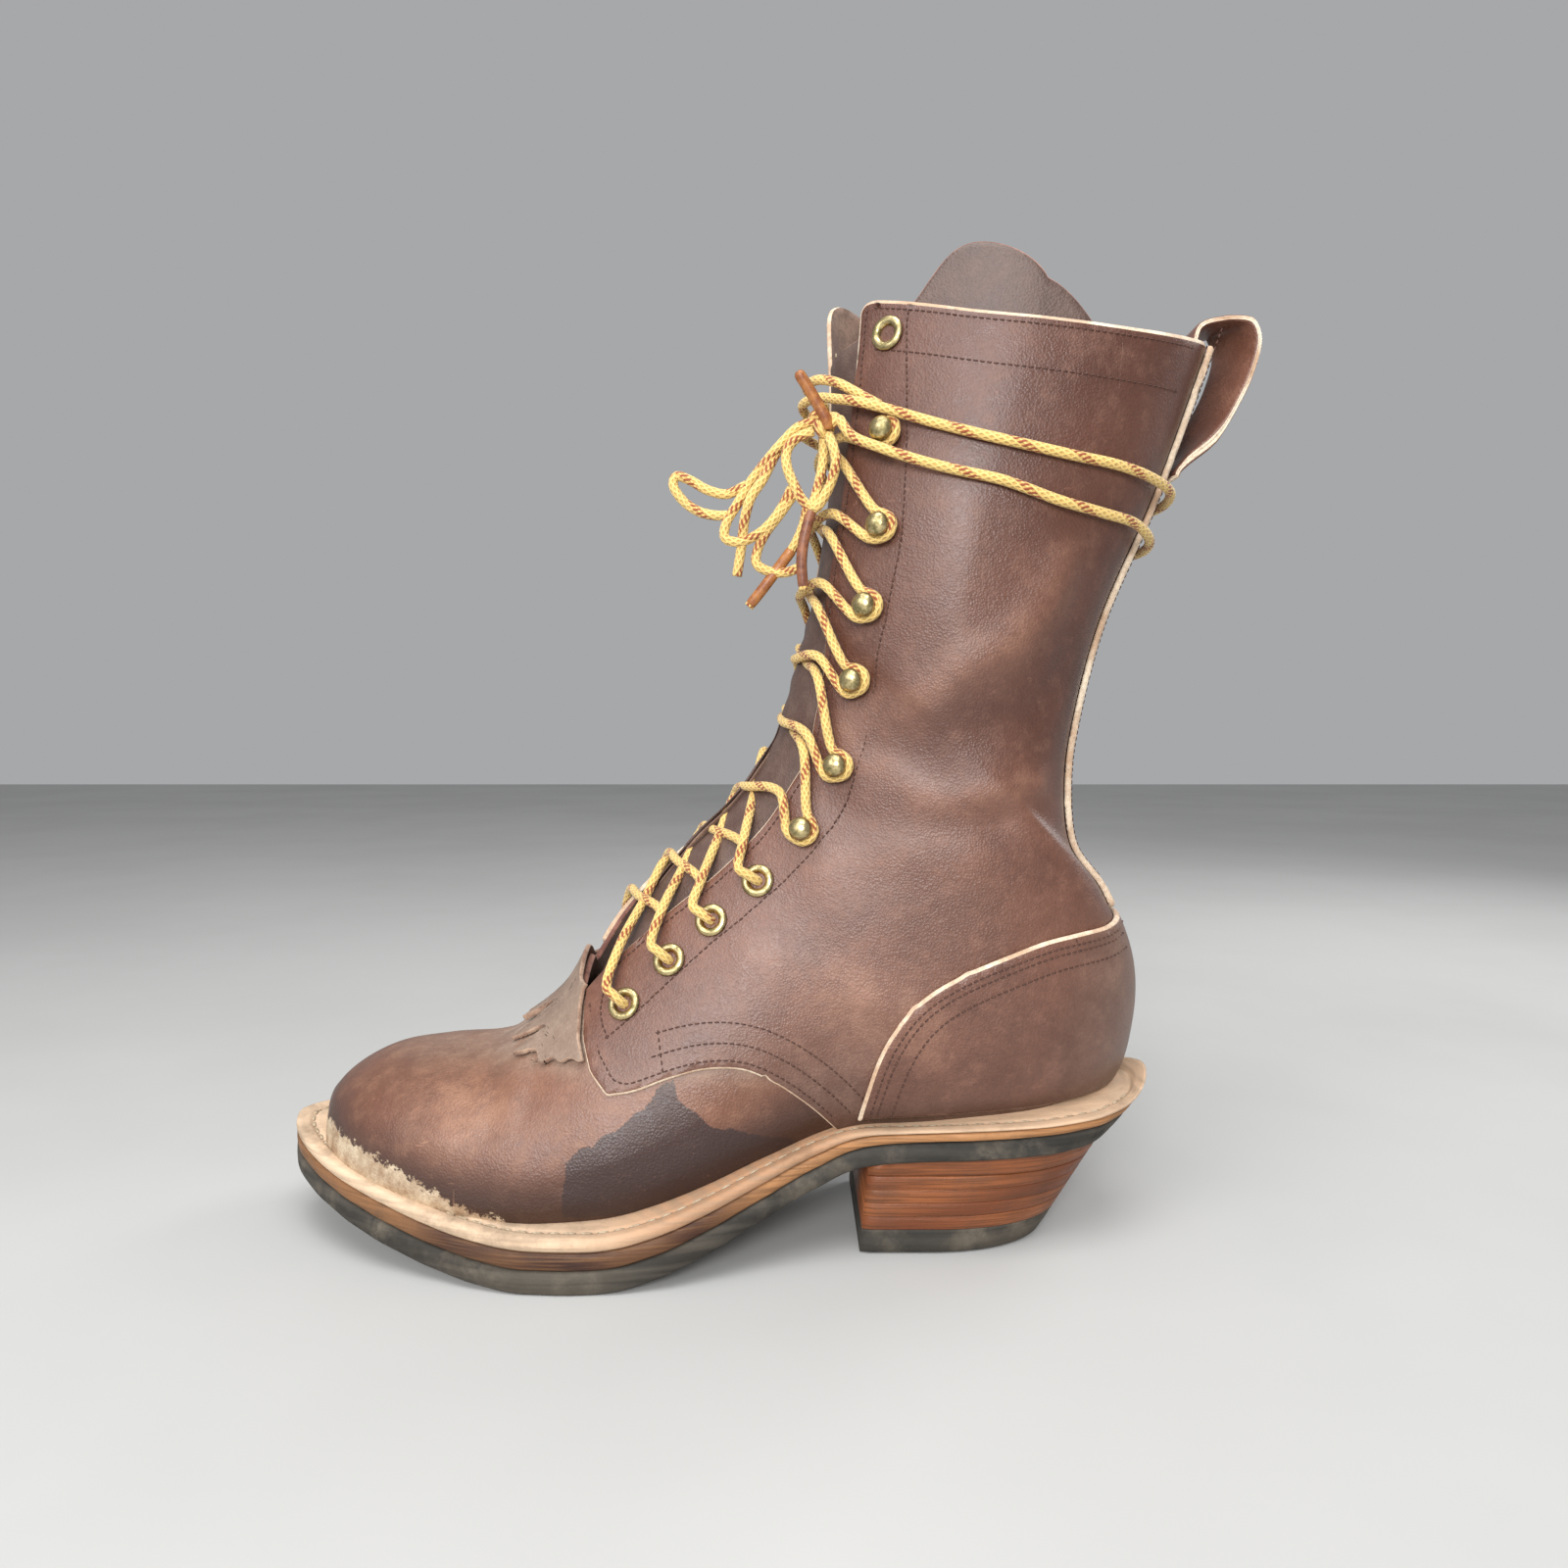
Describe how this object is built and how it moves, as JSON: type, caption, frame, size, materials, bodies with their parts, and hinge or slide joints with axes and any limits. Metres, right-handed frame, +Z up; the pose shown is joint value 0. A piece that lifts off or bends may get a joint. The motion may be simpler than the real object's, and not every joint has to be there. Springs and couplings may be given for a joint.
{
  "type": "packer boot",
  "caption": "Laced leather packer boot for the left foot with a high shaft, a raked stacked heel, a welted sole, a kiltie and speed hooks.",
  "frame": {"origin": "middle of the heel cap's resting face, on the floor", "axes": "+Z up, -X towards the toe, -Y towards the outer side of the left foot"},
  "size_m": [0.3432, 0.1117, 0.3383],
  "materials": {
    "upper_leather": "oiled, satin, lightly scuffed",
    "soft_leather": "oiled, matt",
    "sole_leather": "raw edge, matt",
    "stacked_leather": "burnished edge",
    "rubber": "dusty, matt",
    "brass": "antique, satin",
    "lace_cord": "woven, matt"
  },
  "bodies": {
    "root": {"outsole": "rubber", "midsole": "sole_leather", "welt": "sole_leather", "heel_cap": "rubber", "heel_lift_1": "stacked_leather", "heel_lift_2": "stacked_leather", "heel_lift_3": "stacked_leather", "heel_lift_4": "stacked_leather", "heel_lift_5": "stacked_leather", "insole": "sole_leather", "upper": "upper_leather", "counter": "upper_leather", "back_stay": "upper_leather", "pull_loop": "upper_leather", "tongue": "soft_leather", "kiltie": "soft_leather", "eyelet_outer_1": "brass", "eyelet_outer_2": "brass", "eyelet_outer_3": "brass", "eyelet_outer_4": "brass", "hook_outer_5": "brass", "hook_outer_6": "brass", "hook_outer_7": "brass", "hook_outer_8": "brass", "hook_outer_9": "brass", "hook_outer_10": "brass", "eyelet_outer_11": "brass", "eyelet_inner_1": "brass", "eyelet_inner_2": "brass", "eyelet_inner_3": "brass", "eyelet_inner_4": "brass", "hook_inner_5": "brass", "hook_inner_6": "brass", "hook_inner_7": "brass", "hook_inner_8": "brass", "hook_inner_9": "brass", "hook_inner_10": "brass", "eyelet_inner_11": "brass", "lace_cross_1": "lace_cord", "lace_cross_2": "lace_cord", "lace_cross_3": "lace_cord", "lace_cross_4": "lace_cord", "lace_cross_5": "lace_cord", "lace_cross_6": "lace_cord", "lace_cross_7": "lace_cord", "lace_cross_8": "lace_cord", "lace_cross_9": "lace_cord", "lace_wrap_upper": "lace_cord", "lace_wrap_lower": "lace_cord", "lace_bow": "lace_cord"}
  },
  "joints": []
}
